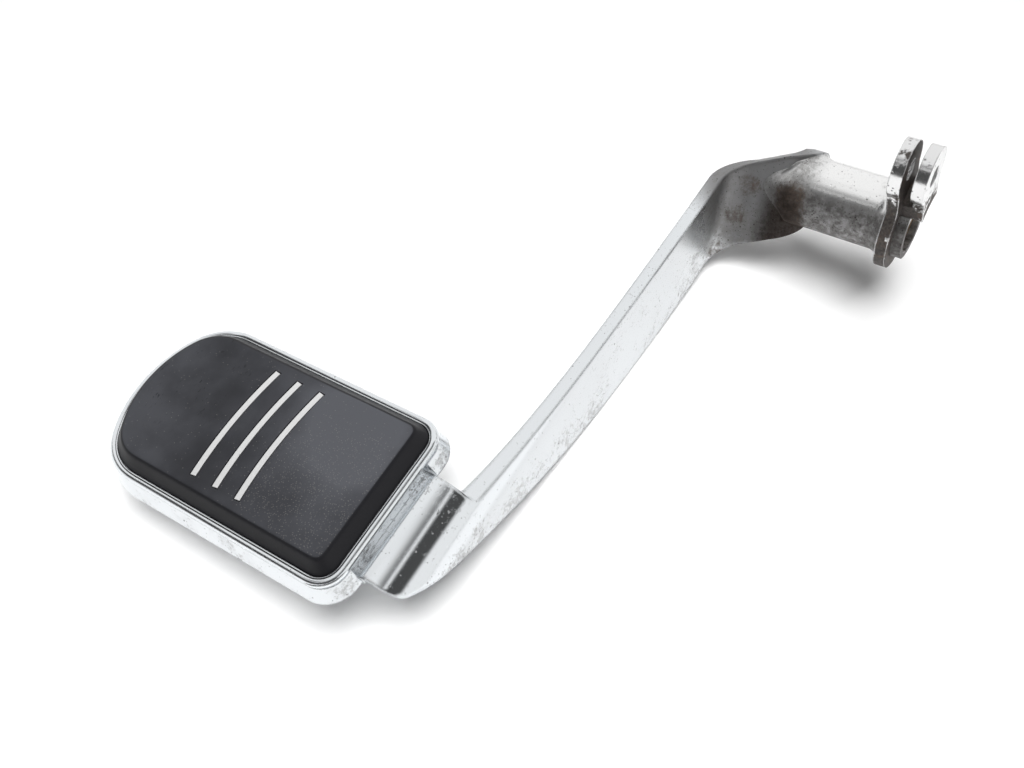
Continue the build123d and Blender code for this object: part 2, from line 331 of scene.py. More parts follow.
def specks(place, scale, size, share):
    """Round specks of a part of a cell's size, in a share of the cells."""
    cells = place.make("ShaderNodeTexVoronoi", feeds={"Vector": place, "Scale": scale}, out="Color")
    reach = place.make("ShaderNodeTexVoronoi", feeds={"Vector": place, "Scale": scale}, out="Distance")
    lot = cells.make("ShaderNodeSeparateColor", feeds={"Color": cells}, out=0)
    chosen = (share - lot).step(-0.02, 0.02)
    return reach.step(size, size * 0.45) * chosen


def bevelled(start, radius):
    """Normal with its sharp edges rounded."""
    return start.make("ShaderNodeBevel", {"samples": BEVEL_SAMPLES}, {"Radius": radius})


def rounded_normal(start, radius, height, strength=0.3, distance=0.0004):
    """Normal with its sharp edges rounded, and bumps on top."""
    normal = bevelled(start, radius)
    feeds = {"Height": height, "Normal": normal, "Strength": strength, "Distance": distance}
    return start.make("ShaderNodeBump", feeds=feeds)


def edge_mask(start, radius):
    """One along sharp edges, nought on flat surfaces."""
    soft = bevelled(start, radius)
    hard = start.make("ShaderNodeNewGeometry", out="Normal")
    return along(soft, hard).step(0.99, 0.86)


def plate_finish(name, tint, gloss, settings, masks, edge):
    """Chrome plate that masks make dull, mottled with pits, rusty, or darker with painted shade."""
    material, start, surface = new_finish(name)
    place = object_place(start)
    dull, mottle, rust, painted_shade = masks(place)
    haze = cloud(place, HAZE_SCALE, 4.0)
    grime = cloud(place, GRIME_SCALE, 5.0, 0.65)
    grain = cloud(place, GRAIN_SCALE, 4.0, 0.7)
    fine_pits = specks(place, settings.fine_pit_scale, FINE_PIT, mottle * 0.4)
    coarse_pits = specks(place, settings.coarse_pit_scale, COARSE_PIT, mottle * 0.2)
    pits = fine_pits.highest(coarse_pits)
    blotch = cloud(place, BLOTCH_SCALE, 5.0, 0.72)
    stain = (blotch + mottle * 0.4 - 0.5).step(0.15, 0.36)
    bloom = (grime * 0.9 + grain * 0.3 + rust - 1.05).step(0.05, 0.45)
    worn = (dull * (0.7 + haze * 0.6)).blend(tint, settings.dull_tint)
    stained = (stain * 0.55).blend(worn, settings.stain_tint)
    pitted = (pits * 0.8).blend(stained, settings.pit_tint)
    brown = grain.step(0.35, 0.7).blend(settings.rust_dark, settings.rust_light)
    rusted = (bloom * 0.88).blend(pitted, brown)
    # Painted shade: the last mask darkens the colour toward the shade tint
    with_painted_shade = (painted_shade * (0.8 + grain * 0.3)).blend(rusted, settings.painted_shade_tint)
    feed(surface, Base_Color=with_painted_shade)
    feed(surface, Metallic=1.0 - (bloom * 0.8 + pits * 0.3 + stain * 0.15) * (1.0 - painted_shade))
    shine = gloss + haze * 0.05 + dull * 0.3
    feed(surface, Roughness=shine + stain * 0.22 + pits * 0.3 + bloom * 0.4 + painted_shade * 0.25)
    feed(surface, Normal=rounded_normal(start, edge, bloom * grime - pits * 0.8 - stain * 0.3))
    return material


def arm_masks(place):
    """Wear of the arm: dull and rusty in the joggle, pitted on the fold and low on the blade, with painted
    shade low by the tube's end and a light darkening over the joggle.
    """
    along_x = axis_of(place, "X")
    along_y = axis_of(place, "Y")
    height = axis_of(place, "Z")
    patches = cloud(place, ARM_PATCHES, 2.0).step(0.42, 0.7)
    clusters = cloud(place, ARM_CLUSTERS).step(0.4, 0.62)
    joggle = near(place, *JOGGLE_WEAR)
    fold = near(place, *FOLD_WEAR)
    rear = near(place, *BLADE_REAR_WEAR)
    rust = near(place, *UPPER_RUST).highest(near(place, *MIDDLE_RUST)).highest(near(place, *LOWER_RUST))
    ahead = along_x - BELLY_X
    above = height - BELLY_Z - ahead * ahead * BELLY_CURVE
    lower_edge = along_y.step(*PITTED_FACE) * above.step(*PITTED_HEIGHT) * clusters
    dull = joggle.highest(along_y.step(*HAZED_FACE) * 0.26)
    mottle = 0.05 + patches * 0.24 + lower_edge * 0.42 + fold * 0.06 + rear * 0.35 + joggle * 0.25
    # Painted shade in the valley low by the tube's end, and a light darkening over the joggle
    painted_shade = (along_y.step(*VALLEY_SHADE_ALONG) * height.step(*VALLEY_SHADE_HEIGHT)).highest(joggle * 0.16)
    return dull, mottle, rust * 0.7, painted_shade


def tube_masks(place):
    """Wear of the tube: bright above, dull and mottled below, with painted shade in the valley at the arm;
    its darker underside is partly pitting and partly painted shade.
    """
    across = axis_of(place, "Z") - axis_of(place, "X")
    length = axis_of(place, "Y")
    clouds = cloud(place, TUBE_CLOUDS, 5.0, 0.7).step(0.35, 0.65)
    below = across.step(*TUBE_BELOW)
    far = length.step(*TUBE_FAR)
    arm_end = length.step(*TUBE_ARM_END) * (1.0 - far)
    lever_end = length.step(*TUBE_LEVER_END)
    # The duller, darker underside is partly real pitting and partly painted shade
    dull = (below * 0.85).highest(arm_end * 0.35).highest(lever_end * 0.2).highest(far * 0.95)
    mottle = 0.2 + below * 0.5 + arm_end * 0.45 + lever_end * 0.3
    rust = 0.12 + arm_end * (0.42 + below * 0.2) + below * 0.2 + lever_end * 0.18 - far * 0.2
    valley = length.step(*VALLEY_ALONG) * (1.0 - far) * across.step(*VALLEY_ACROSS)
    # Painted shade in the valley at the arm and on the tube's underside
    painted_shade = (valley * (0.6 + clouds * 0.35)).highest(below * (1.0 - far) * (0.15 + clouds * 0.45))
    return dull, mottle, rust, painted_shade


def tray_masks(place):
    """Wear of the tray: pitting on the skirt below the rim, and a faint darkening of the skirt."""
    skirt = axis_of(place, "Z").step(*SKIRT_HEIGHT)
    patches = cloud(place, TRAY_PATCHES).step(0.45, 0.7)
    return skirt * patches * 0.2, 0.04 + skirt * (0.1 + patches * 0.4), skirt * 0.05, skirt * 0.02


def lever_finish(settings):
    """Flaking chrome on rust: bright on the rims, the head and the second ear, bare in the channel."""
    material, start, surface = new_finish("lever_flaked_plate")
    place = object_place(start)
    length = axis_of(place, "Y")
    height = axis_of(place, "Z")
    grime = cloud(place, LEVER_GRIME, 5.0, 0.65)
    grain = cloud(place, LEVER_GRAIN, 4.0, 0.7)
    flakes = cloud(place, LEVER_FLAKES, 4.0, 0.6)
    edge = edge_mask(start, LEVER_RIM)
    channel = length.step(*CHANNEL_START) * length.step(*CHANNEL_END)
    head = height.step(*LEVER_HEAD)
    second = length.step(*SECOND_EAR)
    kept = head * 0.34 + second * 0.1 + edge * 0.4 - channel * 0.5
    plate = (kept + flakes * 1.1 - 0.72).step(0.0, 0.1)
    pits = specks(place, settings.coarse_pit_scale, LEVER_PIT, 0.35)
    bare = grain.step(0.3, 0.7).blend(settings.bare_dark, settings.bare_light)
    rusty = (grime.step(0.5, 0.7) * 0.6).blend(bare, settings.rust_light)
    bright = (pits * 0.7).blend(settings.lever_tint, settings.pit_tint)
    feed(surface, Base_Color=plate.blend(rusty, bright))
    feed(surface, Metallic=0.25 + plate * 0.75 - pits * 0.2)
    feed(surface, Roughness=0.6 - plate * 0.44 + pits * 0.2 + grain * 0.06)
    feed(surface, Normal=rounded_normal(start, LEVER_EDGE, plate + grime * 0.5 - pits * 0.5, 0.5))
    return material


def bronze_finish(settings):
    """Bearing bronze with a film of old grease."""
    material, start, surface = new_finish("greased_bronze")
    place = object_place(start)
    film = cloud(place, GREASE_FILM, 4.0)
    turned = cloud(place, TURNED_GRAIN, 2.0)
    greasy = film.step(0.4, 0.7).blend(settings.bronze_tint, settings.grease_tint)
    feed(surface, Base_Color=greasy)
    feed(surface, Metallic=1.0 - film.step(0.45, 0.75) * 0.7)
    feed(surface, Roughness=0.26 + turned * 0.15 + film * 0.1)
    feed(surface, Normal=rounded_normal(start, FASTENER_EDGE, turned, 0.1))
    return material


def zinc_finish(settings):
    """Zinc plate, dulled."""
    material, start, surface = new_finish("dull_zinc")
    place = object_place(start)
    dull = cloud(place, ZINC_CLOUDS, 4.0)
    stain = cloud(place, ZINC_STAINS).step(0.5, 0.75)
    plate = dull.blend(settings.zinc_dark, settings.zinc_light)
    feed(surface, Base_Color=(stain * 0.4).blend(plate, settings.zinc_stain))
    feed(surface, Metallic=1.0 - stain * 0.4)
    feed(surface, Roughness=0.32 + dull * 0.2)
    feed(surface, Normal=rounded_normal(start, FASTENER_EDGE, dull, 0.1))
    return material


def strip_finish(settings):
    """Bright metal strips, with faint dark specks."""
    material, start, surface = new_finish("bright_strip")
    place = object_place(start)
    brushed = cloud(place, STRIP_GRAIN)
    spots = specks(place, STRIP_SPECKS, STRIP_SPECK, brushed * 0.3)
    spotted = (spots * 0.8).blend(settings.strip_tint, settings.strip_spot)
    feed(surface, Base_Color=spotted)
    feed(surface, Metallic=1.0 - spots * 0.5)
    feed(surface, Roughness=0.3 + brushed * 0.12 + spots * 0.2)
    feed(surface, Normal=rounded_normal(start, STRIP_EDGE, brushed, 0.08))
    return material


def rubber_finish(settings):
    """Moulded rubber: black on the shoulder, dusty on top, with grit at the heel and scuffs at the toe."""
    material, start, surface = new_finish("dusty_rubber")
    place = object_place(start)
    facing = start.make("ShaderNodeTexCoord", out="Normal")
    top = axis_of(facing, "Z").step(0.9, 0.995)
    bloom = cloud(place, RUBBER_CLOUDS, 4.0)
    grain = cloud(place, RUBBER_GRAIN)
    heel = near(place, *HEEL_DUST)
    bright = near(place, *MIDDLE_DUST)
    toe = near(place, *TOE_SCUFFS)
    stretch = {"Vector": place, "Scale": SCUFF_SCALE, "Rotation": SCUFF_TURN}
    long_marks = start.make("ShaderNodeMapping", feeds=stretch)
    marks = cloud(long_marks, 1.0, 2.0).step(0.6, 0.68) * toe * cloud(place, SCUFF_PATCHES).step(0.5, 0.6)
    grit = specks(place, RUBBER_GRIT, GRIT, heel * 0.5 + 0.04)
    film = top * (0.17 + bloom.step(0.3, 0.7) * 0.45 + heel * 0.1 + bright)
    base = film.blend(settings.rubber_tint, settings.rubber_bloom)
    gritty = (grit * top * 0.42).blend(base, settings.dust_tint)
    feed(surface, Base_Color=(marks * 0.8).blend(gritty, settings.rubber_tint))
    feed(surface, Roughness=0.36 + top * 0.16 + bloom * 0.1 + grit * 0.15)
    feed(surface, Specular_IOR_Level=0.18)
    relief = {"Height": grain * 0.5 + grit - marks * 1.5, "Strength": 0.16, "Distance": 0.0002}
    feed(surface, Normal=start.make("ShaderNodeBump", feeds=relief))
    return material


def wear_material(mesh, material):
    """Give a mesh its one finish."""
    mesh.materials.clear()
    mesh.materials.append(material)


def wear_finish(node, material):
    """Give a node of the frame its finish."""
    wear_material(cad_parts[node].data, material)


def placed(name, data):
    """A new object in the scene."""
    thing = bpy.data.objects.new(name, data)
    bpy.context.scene.collection.objects.link(thing)
    return thing


def new_piece(name, mesh):
    """A finished piece that moves with the pedal."""
    piece = placed(name, mesh)
    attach(piece, "root")
    return piece


def shaded(mesh, material, crease):
    """Shade a mesh smooth up to a crease, in one finish."""
    mesh.shade_smooth()
    mesh.set_sharp_from_angle(angle=math.radians(crease))
    wear_material(mesh, material)
    return mesh


def mesh_from(name, work, material, crease):
    """A smooth mesh from a bmesh, with its doubles merged and its faces turned outward."""
    bmesh.ops.remove_doubles(work, verts=work.verts, dist=MERGE)
    bmesh.ops.recalc_face_normals(work, faces=work.faces)
    mesh = bpy.data.meshes.new(name)
    work.to_mesh(mesh)
    work.free()
    return shaded(mesh, material, crease)


def pad_loop(step):
    """Outer edge of the rubber's base, anticlockwise, evenly spaced."""
    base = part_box("pad_rubber")[0][2]
    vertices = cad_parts["pad_rubber"].data.vertices
    flat = [Vector(vertex.co[:2]) for vertex in vertices if abs(vertex.co.z - base) < LEVEL]
    hull = [flat[i] for i in convex_hull_2d(flat)]
    area = sum(a.cross(b) for a, b in zip(hull, hull[1:] + hull[:1]))
    if area < 0:
        hull.reverse()
    sides = list(zip(hull, hull[1:] + hull[:1]))
    total = sum((b - a).length for a, b in sides)
    count = round(total / step)
    loop = []
    walked = 0.0
    for a, b in sides:
        length = (b - a).length
        while len(loop) < count and len(loop) * total / count <= walked + length:
            loop.append(a.lerp(b, (len(loop) * total / count - walked) / length))
        walked += length
    for _ in range(PAD_SMOOTHING):
        loop = [loop[i] * 0.5 + (loop[i - 1] + loop[(i + 1) % count]) * 0.25 for i in range(count)]
    return loop


def drawn_in(loop, inset):
    """A loop drawn in by a distance, or let out where it is negative."""
    count = len(loop)
    drawn = []
    for i in range(count):
        run = (loop[(i + 1) % count] - loop[i - 1]).normalized()
        drawn.append(loop[i] + Vector((-run.y, run.x)) * inset)
    return drawn


def ring_of(work, points, height):
    """Vertices of a level ring."""
    return [work.verts.new((point.x, point.y, height)) for point in points]


def bridge(work, first, second):
    """Faces between two closed rings of as many vertices."""
    count = len(first)
    for i in range(count):
        j = (i + 1) % count
        work.faces.new((first[i], first[j], second[j], second[i]))


def strip_loop(settings, centre, grow, steps=24):
    """Outline of one curved slot across the pad, let out by a distance, anticlockwise."""
    half = settings.slot_length / 2 + grow
    side = settings.slot_width / 2 + grow
    near_side = []
    far_side = []
    for i in range(steps + 1):
        x = half * (2 * i / steps - 1)
        bow = -settings.slot_bulge * (1 - (x / half) ** 2)
        near_side.append(Vector((centre.x + x, centre.y + bow - side)))
        far_side.append(Vector((centre.x + x, centre.y + bow + side)))
    return near_side + far_side[::-1]


def strip_centres(settings):
    """Middles of the curved slots, from the toe end of the pad."""
    low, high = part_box("pad_rubber")
    middle_x = (low[0] + high[0]) / 2
    middle_y = high[1] + settings.rubber_margin - settings.slot_middle
    offsets = [i - (settings.slot_count - 1) / 2 for i in range(settings.slot_count)]
    return [Vector((middle_x, middle_y + offset * settings.slot_pitch)) for offset in offsets]


def rubber_mesh(settings, material):
    """Moulded rubber: rounded shoulder, flat top and slots with rounded lips."""
    low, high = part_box("pad_rubber")
    loop = pad_loop(RUBBER_STEP)
    work = bmesh.new()
    rings = []
    for inset, drop in SHOULDER:
        level = low[2] if drop is None else high[2] - drop * MM
        rings.append(ring_of(work, drawn_in(loop, inset * MM), level))
    for first, second in zip(rings, rings[1:]):
        bridge(work, first, second)
    work.faces.new(rings[0])
    edge = [Vector(vertex.co[:2]) for vertex in rings[-1]]
    lips = [strip_loop(settings, centre, settings.slot_lip) for centre in strip_centres(settings)]
    fill_top(work, edge, lips, high[2])
    for centre, lip in zip(strip_centres(settings), lips):
        wall = strip_loop(settings, centre, 0.0)
        upper = ring_of(work, lip, high[2])
        between = [(a + b * 2) / 3 for a, b in zip(lip, wall)]
        middle = ring_of(work, between, high[2] - settings.slot_lip * LIP_FALL)
        lower = ring_of(work, wall, high[2] - settings.slot_lip)
        bottom = ring_of(work, wall, high[2] - settings.slot_depth)
        bridge(work, upper, middle)
        bridge(work, middle, lower)
        bridge(work, lower, bottom)
        for i in range(len(bottom) // 2 - 1):
            work.faces.new((bottom[i], bottom[i + 1], bottom[-i - 2], bottom[-i - 1]))
    return mesh_from("moulded_rubber", work, material, RUBBER_CREASE)


def fill_top(work, edge, holes, level):
    """Flat faces inside an edge and outside the holes."""
    points = list(edge)
    lines = [(i, (i + 1) % len(edge)) for i in range(len(edge))]
    for hole in holes:
        first = len(points)
        points += hole
        lines += [(first + i, first + (i + 1) % len(hole)) for i in range(len(hole))]
    points += grid_inside(edge, holes, TOP_GRID)
    places, _, faces, _, _, _ = delaunay_2d_cdt(points, lines, [], 0, TOP_ROOM)
    vertices = [work.verts.new((place.x, place.y, level)) for place in places]
    for face in faces:
        a, b, c = (places[i] for i in face)
        longest = max((b - a).length, (c - b).length, (a - c).length)
        sliver = abs((b - a).cross(c - a)) < SLIVER * longest
        if not sliver and on_top((a + b + c) / 3, edge, holes):
            work.faces.new([vertices[i] for i in face])


def grid_inside(edge, holes, pitch):
    """Points of a square grid within an edge and clear of the holes."""
    columns = grid_steps([point.x for point in edge], pitch)
    rows = grid_steps([point.y for point in edge], pitch)
    grid = [Vector((column * pitch, row * pitch)) for column in columns for row in rows]
    rims = edge + [point for hole in holes for point in hole]
    clear = [point for point in grid if min((point - rim).length for rim in rims) > pitch * GRID_ROOM]
    return [point for point in clear if on_top(point, edge, holes)]


def grid_steps(values, pitch):
    """Whole steps of a grid between the least and the greatest of some values."""
    return range(math.ceil(min(values) / pitch), math.ceil(max(values) / pitch))


def on_top(point, edge, holes):
    """Whether a point is within an edge and outside the holes."""
    return inside(point, edge) and not any(inside(point, hole) for hole in holes)


def inside(point, loop):
    """Whether a point is within a closed loop."""
    odd = False
    for a, b in zip(loop, loop[1:] + loop[:1]):
        if (a.y > point.y) != (b.y > point.y):
            if point.x < a.x + (point.y - a.y) * (b.x - a.x) / (b.y - a.y):
                odd = not odd
    return odd


def new_tree(name, inputs):
    """A geometry tree with named inputs: its first wire, for making nodes, and the wires of its inputs."""
    tree = bpy.data.node_groups.new(name, "GeometryNodeTree")
    tree.interface.new_socket("Geometry", in_out="INPUT", socket_type="NodeSocketGeometry")
    for label, kind in inputs.items():
        tree.interface.new_socket(label, in_out="INPUT", socket_type=kind)
    tree.interface.new_socket("Geometry", in_out="OUTPUT", socket_type="NodeSocketGeometry")
    start = Wire(tree)
    entry = tree.nodes.new("NodeGroupInput")
    wires = {label: Wire(tree, entry.outputs[label]) for label in ["Geometry", *inputs]}
    return start, wires


def end_tree(start, shape, material):
    """Realize a tree's shape, give it its material, and send it out."""
    whole = start.make("GeometryNodeRealizeInstances", feeds={0: shape})
    dressed = start.make("GeometryNodeSetMaterial", feeds={"Geometry": whole, "Material": material})
    end = start.tree.nodes.new("NodeGroupOutput")
    start.tree.links.new(dressed.socket, end.inputs[0])


def grown(name, start, values, base, material):
    """The plain mesh that a tree makes from a base mesh and its input values."""
    maker = placed(name, base)
    modifier = maker.modifiers.new("shape", "NODES")
    modifier.node_group = start.tree
    for socket in start.tree.interface.items_tree:
        if socket.in_out == "INPUT" and socket.name in values:
            modifier[socket.identifier] = values[socket.name]
    bpy.context.view_layer.update()
    made = bpy.data.meshes.new_from_object(maker.evaluated_get(bpy.context.evaluated_depsgraph_get()))
    bpy.data.objects.remove(maker)
    made.name = name
    return shaded(made, material, CREASE)


def bead_tree(material):
    """Rounded bead along a loop of edges."""
    inputs = {"Half width": "NodeSocketFloat", "Half height": "NodeSocketFloat"}
    start, wires = new_tree("rim_bead", inputs)
    path = start.make("GeometryNodeMeshToCurve", feeds={0: wires["Geometry"]})
    level = start.make("GeometryNodeSetCurveNormal", {"mode": "Z_UP"}, {0: path})
    feeds = {"Resolution": BEAD_POINTS, "Radius": 1.0}
    section = start.make("GeometryNodeCurvePrimitiveCircle", feeds=feeds)
    feeds = {"X": wires["Half width"], "Y": wires["Half height"], "Z": 1.0}
    size = start.make("ShaderNodeCombineXYZ", feeds=feeds)
    flat = start.make("GeometryNodeTransform", feeds={"Geometry": section, "Scale": size})
    bead = start.make("GeometryNodeCurveToMesh", feeds={0: level, 1: flat})
    end_tree(start, bead, material)
    return start


def strip_tree(material):
    """Row of curved strips, each swept along an arc."""
    inputs = {"Start": "NodeSocketVector", "Middle": "NodeSocketVector", "End": "NodeSocketVector",
              "Width": "NodeSocketFloat", "Thickness": "NodeSocketFloat", "Bevel": "NodeSocketFloat",
              "Count": "NodeSocketInt", "Pitch": "NodeSocketVector"}
    start, wires = new_tree("pad_strips", inputs)
    feeds = {name: wires[name] for name in ("Start", "Middle", "End")}
    feeds["Resolution"] = STRIP_POINTS
    arc = start.make("GeometryNodeCurveArc", {"mode": "POINTS"}, feeds)
    level = start.make("GeometryNodeSetCurveNormal", {"mode": "Z_UP"}, {0: arc})
    box = start.make("GeometryNodeCurvePrimitiveQuadrilateral",
                     feeds={0: wires["Width"], 1: wires["Thickness"]})
    feeds = {"Curve": box, "Count": STRIP_EDGE_POINTS, "Radius": wires["Bevel"]}
    soft = start.make("GeometryNodeFilletCurve", {"mode": "POLY"}, feeds)
    strip = start.make("GeometryNodeCurveToMesh", feeds={0: level, 1: soft, "Fill Caps": True})
    row = start.make("GeometryNodeMeshLine", feeds={"Count": wires["Count"], "Offset": wires["Pitch"]})
    strips = start.make("GeometryNodeInstanceOnPoints", feeds={"Points": row, "Instance": strip})
    end_tree(start, strips, material)
    return start


def loop_mesh(name, loop, level):
    """Closed loop of edges at a height."""
    mesh = bpy.data.meshes.new(name)
    count = len(loop)
    edges = [(i, (i + 1) % count) for i in range(count)]
    mesh.from_pydata([(point.x, point.y, level) for point in loop], edges, [])
    return mesh


def round_pivot(angle, radius, y):
    """Point at an angle from upright, a radius and a place along the pivot axis."""
    return Vector((radius * math.sin(angle), y, radius * math.cos(angle)))


def smoothed(before, profile, after):
    """A weld's profile drawn toward the profiles beside it."""
    return [(a + b * 2 + c) / 4 for a, b, c in zip(before, profile, after)]


def weld_ring(name, profiles, inner, seed, material):
    """Closed ring round the pivot axis through profiles of radius and place, with a slight ripple."""
    count = len(profiles)
    for _ in range(WELD_SMOOTHING):
        profiles = [smoothed(profiles[i - 1], profiles[i], profiles[(i + 1) % count]) for i in range(count)]
    work = bmesh.new()
    rows = []
    for i, profile in enumerate(profiles):
        angle = 2 * math.pi * i / count
        ripple = WELD_RIPPLE * noise.noise(round_pivot(angle, RIPPLE_SCALE, seed))
        points = []
        for j, (radius, y) in enumerate(profile):
            swell = math.sin(math.pi * j / (len(profile) - 1))
            points.append(round_pivot(angle, radius + ripple * swell, y))
        foot = profile[-1]
        points.append(round_pivot(angle, min(inner, foot.x - WELD_WALL), foot.y))
        points.append(round_pivot(angle, inner, profile[0].y))
        rows.append([work.verts.new(point) for point in points])
    for row, following in zip(rows, rows[1:] + rows[:1]):
        bridge(work, row, following)
    return mesh_from(name, work, material, WELD_CREASE)


def hollow_profile(toe, foot):
    """Hollow weld in a corner, from its toe on the tube to its foot on the other piece."""
    corner = Vector((toe.x, foot.y)).lerp((toe + foot) / 2, WELD_HOLLOW)
    shares = [i / WELD_STEPS for i in range(WELD_STEPS + 1)]
    return [toe * (1 - t) ** 2 + corner * (2 * t * (1 - t)) + foot * t ** 2 for t in shares]


def shoulder_profile(toe, edge, foot):
    """Weld over the tube's end, from its toe on the tube, past the edge, to its foot on the arm."""
    crown = Vector((WELD_CROWN, 0.0))
    profile = [toe, toe.lerp(edge, 0.5) + crown, edge + crown]
    steps = WELD_STEPS + 1 - len(profile)
    for i in range(1, steps + 1):
        t = i / steps
        fall = t * t * (3 - 2 * t)
        profile.append(Vector((edge.x + WELD_CROWN + (foot.x - edge.x - WELD_CROWN) * fall,
                               edge.y + (foot.y - edge.y) * t)))
    return profile


def arm_weld_profiles(settings):
    """Profiles of the weld between the tube and the arm, round the tube."""
    low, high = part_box("pivot_tube")
    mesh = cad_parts["pedal_arm"].data
    faces = [face.vertices[:] for face in mesh.polygons]
    tree = BVHTree.FromPolygons([vertex.co for vertex in mesh.vertices], faces)
    angles = [2 * math.pi * i / settings.weld_sections for i in range(settings.weld_sections)]
    return [arm_weld_profile(tree, angle, high[0], low[1], settings) for angle in angles]


def arm_weld_profile(tree, angle, tube, tube_end, settings):
    """Profile of the arm's weld at an angle: in the end plate's corner, or over the tube's end."""
    toward_arm = Vector((0.0, -1.0, 0.0))
    root = tree.ray_cast(round_pivot(angle, tube, 0.0), toward_arm)[0]
    if root is None or root.y < tube_end - settings.weld_leg:
        drop = tube_end - settings.run_leg
        start = round_pivot(angle, CAST_FROM * tube, drop)
        face = tree.ray_cast(start, round_pivot(angle, -1.0, 0.0))[0]
        reach = tube if face is None else min(tube, math.hypot(face.x, face.z))
        share = (tube - reach) / (tube * RUN_SPREAD)
        run = LEAST_RUN + (settings.run_leg - LEAST_RUN) * share
        foot = Vector((reach - WELD_BITE, tube_end - run))
        toe = Vector((tube - WELD_BITE, tube_end + settings.weld_leg / 2))
        return shoulder_profile(toe, Vector((tube, tube_end - EDGE_PAST)), foot)
    toe = Vector((tube - WELD_BITE, root.y + settings.weld_leg))
    rise = settings.weld_rise
    while rise > WELD_BITE:
        face = tree.ray_cast(round_pivot(angle, tube + rise, 0.0), toward_arm)[0]
        if face is not None and abs(face.y - root.y) < settings.weld_leg:
            return hollow_profile(toe, Vector((tube + rise, face.y - WELD_BITE)))
        rise -= RISE_STEP
    return hollow_profile(toe, Vector((tube, root.y - WELD_BITE)))


def lever_weld_profiles(settings):
    """Profiles of the flare between the tube and the lever's flange."""
    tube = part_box("pivot_tube")[1][0]
    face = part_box("clevis_lever")[0][1]
    toe = Vector((tube - WELD_BITE, face - settings.flare_leg))
    foot = Vector((tube + settings.flare_rise, face + WELD_BITE))
    return [hollow_profile(toe, foot)] * settings.weld_sections


def colour_setting(name, description, *default):
    """A colour that a user can change."""
    return FloatVectorProperty(name=name, description=description, subtype="COLOR", default=default)


def length_setting(name, description, default):
    """A length that a user can change, in metres."""
    return FloatProperty(name=name, description=description, default=default, min=0.0, unit="LENGTH")


def factor_setting(name, description, default):
    """A share from nought to one that a user can change."""
    return FloatProperty(
        name=name, description=description, default=default, min=0.0, max=1.0, subtype="FACTOR")


def direction_setting(name, description, *default):
    """A direction that a user can change."""
    return FloatVectorProperty(name=name, description=description, subtype="DIRECTION", default=default)


class PedalFinishSettings(bpy.types.PropertyGroup):
    """Colours and sizes of the finishes."""

    chrome_tint: colour_setting("Chrome", "Colour of the chrome plate", 0.76, 0.785, 0.805)
    tube_tint: colour_setting("Tube chrome", "Colour of the tube's thinner plate", 0.88, 0.88, 0.875)
    lever_tint: colour_setting("Lever chrome", "Colour of the plate left on the lever", 0.78, 0.78, 0.78)
    dull_tint: colour_setting("Dull plate", "Colour of plate that has gone dull", 0.33, 0.33, 0.335)
    stain_tint: colour_setting("Stain", "Colour of grey stain round the pits", 0.33, 0.325, 0.315)
    pit_tint: colour_setting("Pits", "Colour of the pits in the plate", 0.08, 0.075, 0.07)
    rust_dark: colour_setting("Dark rust", "Colour of old rust", 0.04, 0.028, 0.022)
    rust_light: colour_setting("Light rust", "Colour of fresh rust", 0.13, 0.085, 0.058)
    # Colour of the painted shade in the valley at the tube's end and under the tube
    painted_shade_tint: colour_setting("Painted shade", "Colour of the dark scale beside the weld", 0.06, 0.048, 0.042)
    bare_dark: colour_setting("Dark bare steel", "Darker colour of the bare lever", 0.038, 0.032, 0.03)
    bare_light: colour_setting("Light bare steel", "Lighter colour of the bare lever", 0.1, 0.088, 0.08)
    bronze_tint: colour_setting("Bronze", "Colour of the clean bushes", 0.42, 0.26, 0.11)
    grease_tint: colour_setting("Grease", "Colour of the old grease on the bushes", 0.09, 0.06, 0.035)
    zinc_dark: colour_setting("Dark zinc", "Darker colour of the fasteners", 0.42, 0.42, 0.43)
    zinc_light: colour_setting("Light zinc", "Lighter colour of the fasteners", 0.62, 0.62, 0.63)
    zinc_stain: colour_setting("Zinc stain", "Colour of stain on the fasteners", 0.22, 0.17, 0.12)
    strip_tint: colour_setting("Strips", "Colour of the strips in the rubber", 0.84, 0.84, 0.84)
    strip_spot: colour_setting("Strip specks", "Colour of the specks on the strips", 0.1, 0.1, 0.1)
    rubber_tint: colour_setting("Rubber", "Colour of the clean rubber", 0.012, 0.012, 0.014)
    rubber_bloom: colour_setting("Rubber bloom", "Colour of the dusty rubber", 0.086, 0.089, 0.1)
    dust_tint: colour_setting("Dust", "Colour of the grit on the rubber", 0.22, 0.215, 0.205)
    chrome_roughness: factor_setting("Chrome roughness", "Roughness of clean plate", 0.06)
    tube_roughness: factor_setting("Tube roughness", "Roughness of the tube's thinner plate", 0.17)
    fine_pit_scale: FloatProperty(
        name="Fine pits", description="Cells of fine pitting in a metre", default=1150.0, min=1.0)
    coarse_pit_scale: FloatProperty(
        name="Coarse pits", description="Cells of coarse pitting in a metre", default=520.0, min=1.0)
    edge_radius: length_setting("Edge radius", "Rounding of the bar's edges", 0.0024)


